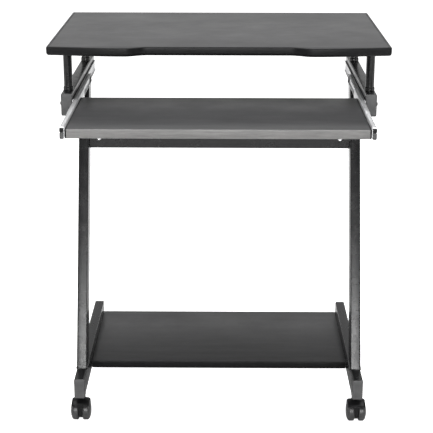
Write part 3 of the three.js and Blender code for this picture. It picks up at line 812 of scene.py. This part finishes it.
def add_posts():
    """A round tube with a collar at its foot, and a flange with three screws at its head."""
    screw_circle = 14.5 * MM
    screw_seat = 2.95 * MM
    for side in SIDES:
        for end in ENDS:
            node = f"post_{end}_{side}"
            low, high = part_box(node)
            spot = (low + high) / 2
            top = (high.z - low.z) / MM
            profile = [
                (0, 0), (8.7, 0), (9.0, 0.3), (9.0, 4.2), (8.8, 5.2), (8.3, 6.0), (7.9, 6.6),
                (7.75, 7.4), (7.75, top - 5.2), (8.2, top - 4.0), (9.4, top - 3.2),
                (19.4, top - 2.8), (20.0, top - 2.2), (20.0, top - 0.1), (0, top - 0.1),
            ]
            shell = lathe([(r * MM, z * MM) for r, z in profile], 48, "Z", (spot.x, spot.y, low.z))
            piece(f"{node}_tube", shell, "frame", "powder_coat", node, 30)
            for k in range(3):
                angle = math.radians(90 + 120 * k)
                place = (
                    spot.x + screw_circle * math.cos(angle),
                    spot.y + screw_circle * math.sin(angle),
                    high.z - screw_seat,
                )
                add_screw(f"{node}_screw_{k}", place)


def add_screw(name, place):
    """A wood screw's pan head with a crossed recess, seen from below."""
    r, h = 3.2 * MM, 1.6 * MM
    sides = 24
    angles = [2 * math.pi * k / sides for k in range(sides)]
    rings = [
        [(r * share * math.cos(angle), r * share * math.sin(angle), h * lift) for angle in angles]
        for share, lift in ((1.0, 0.0), (1.0, 0.35), (0.9, 0.7), (0.7, 0.92), (0.45, 1.0))
    ]
    cross = []
    for angle in angles:
        arm = abs(math.cos(2 * angle)) ** 4
        reach = r * (0.12 + 0.30 * arm)
        cross.append((reach * math.cos(angle), reach * math.sin(angle), h * 0.98))
    rings.append(cross)
    rings.append([(x * 0.6, y * 0.6, h * 0.3) for x, y, _ in cross])
    placed = [[across("Z", -z, x, y, place) for x, y, z in ring] for ring in rings]
    piece(name, loft(placed), "frame", "bright_steel", (), 40)


# ---- Slides ----

# A slide's section is drawn as (d, z): d is counted from the side rail's inner face towards
# the tray, and z from the slide's middle. Every slide is made of the same sheet.
SLIDE_SHEET = 1 * MM
CAGE_SHEET = 0.4 * MM
BALL_RADIUS = 0.65 * MM
BALLS_IN_A_ROW = 8


def add_slides():
    for side, sign in SIDES.items():
        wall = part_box(f"side_rail_{side}")
        outside, face = (wall[0].x, wall[1].x) if sign < 0 else (wall[1].x, wall[0].x)
        add_members(side, sign, face)
        for kind in ("outer", "inner"):
            add_cage(side, sign, face, kind)
        add_inner_ends(side, sign, face)
        add_buffer(side, sign, face)
        for end in ENDS:
            node = f"slide_bolt_{end}_{side}"
            spot = middle(node)
            radius = size(node).y / 2
            add_bolt(node, (outside, spot.y, spot.z), "X", sign, radius, 3 * MM, "black_bolt")


def depths(node, face):
    """Least and greatest distance of a node from the side rail's inner face."""
    low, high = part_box(node)
    return sorted((abs(low.x - face), abs(high.x - face)))


def along(section, sign, face, z, y0, y1):
    """The section drawn out from y0 to y1."""
    return loft([[(face - sign * d, y, z + dz) for d, dz in section] for y in (y0, y1)])


def mirrored(half):
    """The upper half of a section, and the same below it."""
    return half + [(d, -z) for d, z in reversed(half)]


def channel_section(web, tip, top, race=None):
    """C section with bent corners and, if a race is given, a shallow groove for the balls."""
    way = 1 if tip > web else -1
    bend = 1.1 * MM
    path = [(tip, top)]
    if race:
        for shift, depth in ((0.9, 0), (0.5, 0.25), (-0.5, 0.25), (-0.9, 0)):
            path.append((race + way * shift * MM, top - depth * MM))
    path += [(web + way * bend, top), (web + way * bend * 0.3, top - bend * 0.3)]
    path.append((web, top - bend))
    return bent_sheet(mirrored(path), SLIDE_SHEET)


def i_section(near, far, top, races):
    """I section with two grooves in each flange for the balls."""
    left, right = (near + far - SLIDE_SHEET) / 2, (near + far + SLIDE_SHEET) / 2
    under = top - SLIDE_SHEET
    bend = 0.6 * MM
    half = [(right, under - bend), (right + bend, under), (far, under), (far, top)]
    for race in sorted(races, reverse=True):
        for shift, depth in ((0.7, 0), (0.4, 0.2), (-0.4, 0.2), (-0.7, 0)):
            half.append((race + shift * MM, top - depth * MM))
    half += [(near, top), (near, under), (left - bend, under), (left, under - bend)]
    return mirrored(half)


def add_members(side, sign, face):
    """Outer, middle and inner member, each as long as its node."""
    outer, mid, inner = (f"slide_{kind}_{side}" for kind in ("outer", "middle", "inner"))
    z = middle(outer).z
    top = size(outer).z / 2 - SLIDE_SHEET / 2
    web, tip = depths(outer, face)
    low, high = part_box(outer)
    section = channel_section(web + SLIDE_SHEET / 2, tip, top)
    piece(f"{outer}_channel", along(section, sign, face, z, low.y, high.y), "frame", "zinc",
          outer, 40)

    near, far = depths(mid, face)
    low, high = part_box(mid)
    races = [ball_depth(f"slide_cage_{kind}_{side}", face) for kind in ("outer", "inner")]
    section = i_section(near, far, size(mid).z / 2, races)
    piece(f"{mid}_section", along(section, sign, face, z, low.y, high.y), mid, "zinc", mid, 40)

    web = depths(inner, face)[1]
    low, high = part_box(inner)
    section = channel_section(web - SLIDE_SHEET / 2, tip + 0.6 * MM, top, races[1])
    piece(f"{inner}_channel", along(section, sign, face, z, low.y + 1.2 * MM, high.y), "tray",
          "zinc", inner, 40)


def ball_depth(cage, face):
    """Where a cage's balls run, as a distance from the side rail's inner face."""
    near, far = depths(cage, face)
    return near + (far - near) * 0.55


def ball(centre, radius):
    profile = [
        (radius * math.sin(math.pi * k / 8), -radius * math.cos(math.pi * k / 8))
        for k in range(9)
    ]
    return lathe(profile, 12, "Z", centre)


def add_cage(side, sign, face, kind):
    """A thin bent strip, open away from its member's web, with a row of balls in each flange."""
    node = f"slide_cage_{kind}_{side}"
    low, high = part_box(node)
    near, far = depths(node, face)
    z = middle(node).z
    top = (high.z - low.z) / 2 - CAGE_SHEET / 2
    bend = 0.5 * MM
    web, tip = (near + CAGE_SHEET / 2, far)
    if kind == "inner":
        web, tip = (far - CAGE_SHEET / 2, near)
    way = 1 if tip > web else -1
    path = [(tip, top), (web + way * bend, top), (web, top - bend)]
    section = bent_sheet(mirrored(path), CAGE_SHEET)
    strip = along(section, sign, face, z, low.y, high.y)
    piece(f"{node}_strip", strip, node, "zinc", node, 40)
    balls = []
    depth = ball_depth(node, face)
    for k in range(BALLS_IN_A_ROW):
        y = low.y + (high.y - low.y) * (k + 0.5) / BALLS_IN_A_ROW
        for up in (-1, 1):
            balls.append(ball((face - sign * depth, y, z + up * top), BALL_RADIUS))
    piece(f"{node}_balls", merged(*balls), node, "bright_steel", (), 80)


def swelling_block(loop, centre, profile, y, sign, face, z):
    """A loop drawn out along y. The profile holds (distance in mm, share of the loop's size)."""
    return loft([
        [
            (face - sign * (centre.x + d * share), y + way * MM, z + centre.y + dz * share)
            for d, dz in loop
        ]
        for way, share in profile
    ])


def add_inner_ends(side, sign, face):
    """A flange, a clip and a bumper on the inner member's front end."""
    inner = f"slide_inner_{side}"
    z = middle(f"slide_outer_{side}").z
    near, far = depths(inner, face)
    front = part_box(inner)[0].y
    seam = far - 1.2 * MM
    width = seam - near - 0.1 * MM
    plate_place = Vector(((far + seam) / 2, 0))
    clip_place = Vector(((seam + near) / 2, 3.3 * MM))
    bumper_place = Vector(((seam + near) / 2, -6.1 * MM))
    plate = rounded_rectangle(far - seam, 18 * MM, 0.4 * MM, 5)
    clip = rounded_rectangle(width, 7.2 * MM, 1.6 * MM, 5)
    bumper = rounded_rectangle(width, 11.4 * MM, 2.2 * MM, 5)
    square = ((0.0, 0.97), (0.15, 1.0), (1.1, 1.0))
    eased = ((0.5, 0.86), (0.7, 0.95), (1.2, 1.0), (2.9, 1.0))
    domed = ((0.0, 0.62), (0.2, 0.80), (0.6, 0.93), (1.2, 1.0), (2.9, 1.0))
    for name, loop, centre, profile, slot, finish in (
        ("slide_front_plate", plate, plate_place, square, "zinc", "zinc"),
        ("slide_clip", clip, clip_place, eased, "black_plastic", "black_plastic"),
        # Painted reflection: the bumper gets the lighter grey cap finish, while the clip above it
        # stays black.
        ("slide_bumper", bumper, bumper_place, domed, "black_plastic", "cap_plastic"),
    ):
        shell = swelling_block(loop, centre, profile, front, sign, face, z)
        piece(f"{name}_{side}", shell, "tray", slot, (), 40, finish)


def add_buffer(side, sign, face):
    """A black buffer behind the middle member."""
    mid = f"slide_middle_{side}"
    z = middle(f"slide_outer_{side}").z
    near, far = depths(mid, face)
    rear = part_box(mid)[1].y
    loop = rounded_rectangle(far - near - 0.8 * MM, 14.6 * MM, 1.0 * MM, 3)
    profile = ((-9.0, 0.92), (-8.4, 1.0), (-0.8, 1.0), (-0.2, 0.9))
    centre = Vector(((near + far) / 2, 0))
    shell = swelling_block(loop, centre, profile, rear, sign, face, z)
    piece(f"slide_buffer_{side}", shell, mid, "black_plastic", (), 40)


# ---- Casters ----

HOOD_START = math.radians(-12)
HOOD_END = math.radians(138)


def add_casters():
    for end in ENDS:
        for side in SIDES:
            name = f"caster_{end}_{side}"
            axle = middle(f"{name}_axle")
            add_hood(name, axle)
            for half, sign in SIDES.items():
                add_wheel(name, half, sign, axle)
            add_stem(name, side)


def add_wheel(name, half, sign, axle):
    """Crowned tread with rounded shoulders, and a domed cover with a ring groove and a hub."""
    profile = [
        (2.6, 4.4), (6.0, 4.4), (6.4, 4.9), (15.8, 4.9), (16.2, 4.4), (18.4, 4.4), (19.2, 4.8),
        (19.75, 5.7), (19.95, 7.0), (20.0, 9.0), (20.0, 11.5), (19.9, 13.2), (19.6, 14.4),
        (19.0, 15.4), (18.5, 15.6), (18.1, 15.5), (17.8, 15.9), (17.2, 16.8), (15.6, 17.7),
        (13.2, 18.5), (10.4, 19.1), (8.4, 19.4), (8.1, 19.1), (7.7, 19.1), (7.4, 19.5),
        (4.4, 19.65), (1.4, 19.7), (0, 19.7),
    ]
    inside = [(2.6, 4.4), (2.6, 16.4), (0, 16.4)]
    shell = lathe([(r * MM, x * MM) for r, x in inside[::-1] + profile[1:]], 64, "X", axle, sign)
    node = f"{name}_wheel_{half}"
    piece(f"{node}_shell", shell, node, "gloss_plastic", node, 40)


def add_hood(name, axle):
    """Curved hood over both wheels, the web between them, the kingpin boss and the hub."""
    node = f"{name}_body"
    kingpin = middle(f"{name}_stem")
    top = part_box(node)[1].z
    boss_profile = [(0, -12), (8.6, -12), (8.2, -5), (8.0, -1.0), (7.6, -0.3), (7.0, 0), (0, 0)]
    boss = lathe(
        [(r * MM, z * MM) for r, z in boss_profile], 32, "Z", (kingpin.x, kingpin.y, top)
    )
    hub_profile = [(0, -4.35), (4.6, -4.35), (4.6, 4.35), (0, 4.35)]
    hub = lathe([(r * MM, x * MM) for r, x in hub_profile], 32, "X", axle)
    shell = merged(hood_shell(axle), hood_web(axle), boss, hub)
    piece(f"{name}_hood", shell, f"{name}_swivel", "black_plastic", node, 40)


def hood_shell(axle):
    """The hood's section, (x, radius) in mm, swept about the axle, with both ends eased."""
    outer = [
        (-17.0, 21.9), (-16.6, 22.6), (-15.4, 23.2), (-13.0, 23.7), (-8.0, 24.0), (0.0, 24.0),
        (8.0, 24.0), (13.0, 23.7), (15.4, 23.2), (16.6, 22.6), (17.0, 21.9),
    ]
    inner = [(15.6, 21.4), (12.0, 21.75), (0.0, 21.8), (-12.0, 21.75), (-15.6, 21.4)]
    inside = 21.85
    eased = [
        (x * 0.985, r + 0.35 * (-1 if r > inside else 1)) for x, r in outer + inner
    ]
    overhang = 0.5 / 23
    steps = 36
    sweep = [(HOOD_START - overhang, eased)]
    for k in range(steps + 1):
        sweep.append((HOOD_START + (HOOD_END - HOOD_START) * k / steps, outer + inner))
    sweep.append((HOOD_END + overhang, eased))
    return loft([
        [
            (axle.x + x * MM, axle.y + r * MM * math.cos(a), axle.z + r * MM * math.sin(a))
            for x, r in section
        ]
        for a, section in sweep
    ])


def hood_web(axle):
    """The plate between the wheels: up to the hood above the axle, smaller round below it."""
    rim, foot = 22.6, 16
    outline = []
    for k in range(25):
        a = HOOD_START + (HOOD_END - HOOD_START) * k / 24
        outline.append((rim * math.cos(a), rim * math.sin(a)))
    for k in range(13):
        a = math.pi + 0.75 * math.pi * k / 12
        outline.append((foot * math.cos(a), foot * math.sin(a)))
    rings = []
    for x, shrink in ((-4.0, 0.4), (-3.6, 0.0), (3.6, 0.0), (4.0, 0.4)):
        ring = []
        for y, z in outline:
            length = math.hypot(y, z)
            share = (length - shrink) / length
            ring.append((axle.x + x * MM, axle.y + y * share * MM, axle.z + z * share * MM))
        rings.append(ring)
    return loft(rings)


def add_stem(name, side):
    """A collar with a six-sided wrench land, the thread above it and the kingpin below it."""
    node = f"{name}_stem"
    low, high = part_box(node)
    spot = (low + high) / 2
    gap = 0.3 * MM
    collar_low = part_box(f"{name}_body")[1].z + gap
    collar_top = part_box(f"base_rail_{side}")[0].z - gap
    pin = lathe([
        (0, low.z), (2.2 * MM, low.z), (2.6 * MM, low.z + 0.5 * MM), (2.6 * MM, collar_low),
        (0, collar_low),
    ], 24, "Z", (spot.x, spot.y, 0))
    collar = stem_collar(spot, collar_low, collar_top)
    thread = stem_thread(spot, collar_top, high.z)
    shell = merged(collar, thread, pin)
    piece(f"{node}_turned", shell, "frame", "zinc", node, 35)


def stem_collar(spot, bottom, top):
    """Rings at (share of the radius, share of the height). The upper half has wrench flats."""
    radius, flat = 9 * MM, 7.8 * MM
    sides = 48
    rings = []
    for share, rise in (
        (0.95, 0.0), (1.0, 0.08), (1.0, 0.35), (0.97, 0.42), (1.0, 0.5), (1.0, 0.92), (0.95, 1.0)
    ):
        ring = []
        for k in range(sides):
            angle = 2 * math.pi * k / sides
            reach = radius * share
            if rise >= 0.5:
                turn = (angle % (math.pi / 3)) - math.pi / 6
                reach = min(reach, flat / math.cos(turn))
            ring.append((
                spot.x + reach * math.cos(angle), spot.y + reach * math.sin(angle),
                bottom + (top - bottom) * rise,
            ))
        rings.append(ring)
    return loft(rings)


def stem_thread(spot, bottom, top):
    """Ridges at the thread's pitch, and a tapered tip."""
    pitch, root, crest = 1.25 * MM, 3.4 * MM, 4.0 * MM
    turns = int((top - bottom) / pitch)
    profile = [(0, bottom)]
    for k in range(turns):
        z = bottom + k * pitch
        profile += [(root, z), (crest, z + 0.6 * MM)]
    profile += [(root, bottom + turns * pitch), (2.8 * MM, top), (0, top)]
    return lathe(profile, 32, "Z", (spot.x, spot.y, 0))


# ---- Assembly ----

add_camera()
add_studio()

FINISHES = {
    "laminate": laminate(),
    "edge_trim": edge_trim(),
    "tray_trim": tray_trim(),
    "powder_coat": powder_coat(),
    "black_plastic": black_plastic(),
    "cap_plastic": cap_plastic(),
    "gloss_plastic": gloss_plastic(),
    "zinc": zinc(),
    "bright_steel": bright_steel(),
    "black_bolt": black_bolt(),
}

for entry in frame["record"]["subparts"]:
    node = frame["nodes"][entry["node"]]
    node.data.materials.clear()
    node.data.materials.append(FINISHES[entry["material_slot"]])

add_desktop()
add_tray()
add_shelf()
add_rails()
add_uprights()
add_crossbar()
add_posts()
add_slides()
add_casters()
